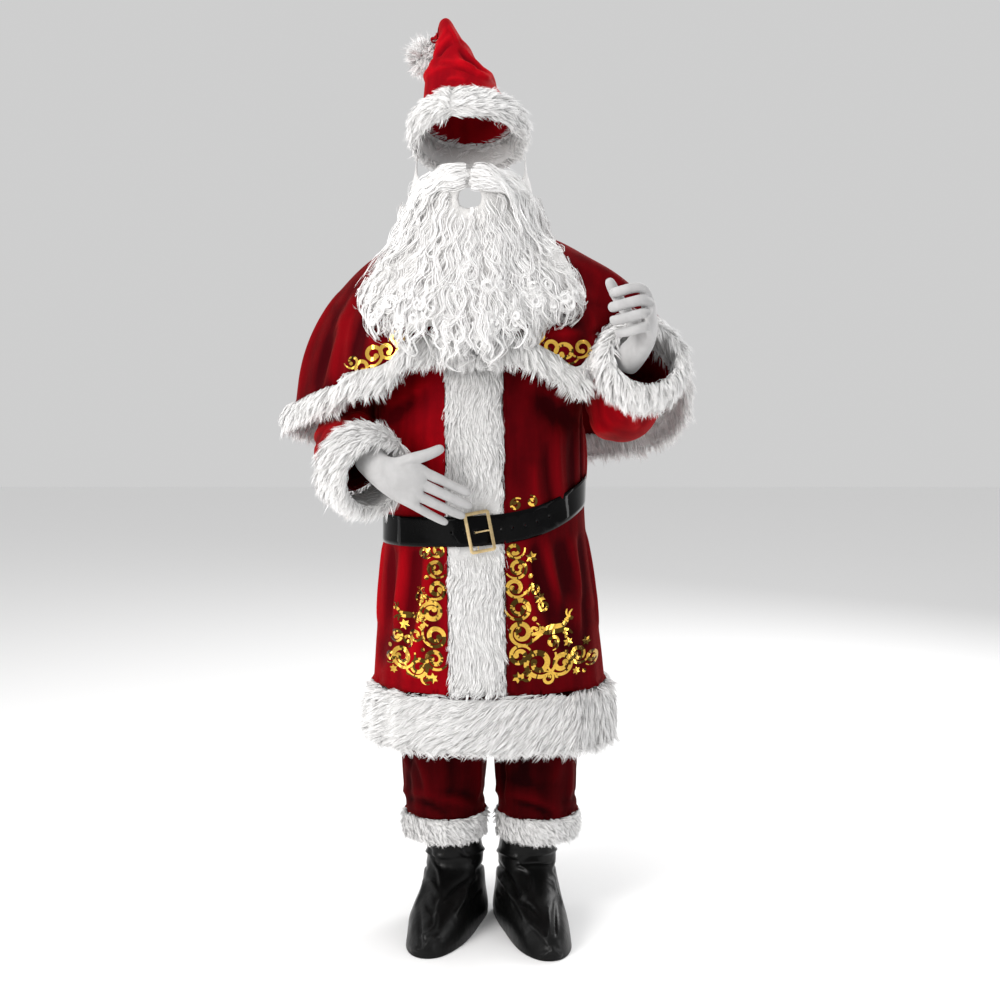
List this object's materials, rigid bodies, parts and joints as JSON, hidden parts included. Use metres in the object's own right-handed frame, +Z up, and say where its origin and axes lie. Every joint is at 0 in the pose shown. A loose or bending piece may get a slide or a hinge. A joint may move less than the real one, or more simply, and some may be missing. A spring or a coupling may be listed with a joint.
{
  "type": "santa suit",
  "caption": "Red velvet santa costume with white fur trim, worn and hollow: hat, false beard, shoulder cape, belted coat, trousers, gloves and boot covers.",
  "frame": {"origin": "middle of the neck, 1.40 m above the floor, where the wearer's shoulders hold the suit up", "axes": "+Z up, -Y the way the wearer faces, +X towards the wearer's left"},
  "size_m": [0.8233, 0.6184, 1.8141],
  "materials": {
    "velvet": "crushed velvet",
    "white_fur": "long pile",
    "patent_belt": "patent gloss",
    "buckle_metal": "aged satin",
    "boot_leathercloth": "creased satin",
    "glove_cotton": "fine knit",
    "beard_hair": "curled synthetic hair",
    "gold_foil": "foil print"
  },
  "bodies": {
    "root": {"beard": "beard_hair", "belt": "patent_belt", "boot_cover_left": "boot_leathercloth", "boot_cover_right": "boot_leathercloth", "buckle_frame": "buckle_metal", "buckle_prong": "buckle_metal", "cape": "velvet", "cape_fur": "white_fur", "coat_back_left": "velvet", "coat_back_right": "velvet", "coat_yoke_left": "velvet", "coat_yoke_right": "velvet", "coat_front_left": "velvet", "coat_front_right": "velvet", "coat_hem_fur": "white_fur", "coat_placket_fur": "white_fur", "cuff_fur_left": "white_fur", "cuff_fur_right": "white_fur", "glove_left": "glove_cotton", "glove_right": "glove_cotton", "hat": "velvet", "hat_band_fur": "white_fur", "hat_pompom": "white_fur", "sleeve_left": "velvet", "sleeve_right": "velvet", "trouser_fur_left": "white_fur", "trouser_fur_right": "white_fur", "trouser_left": "velvet", "trouser_right": "velvet"}
  },
  "joints": []
}
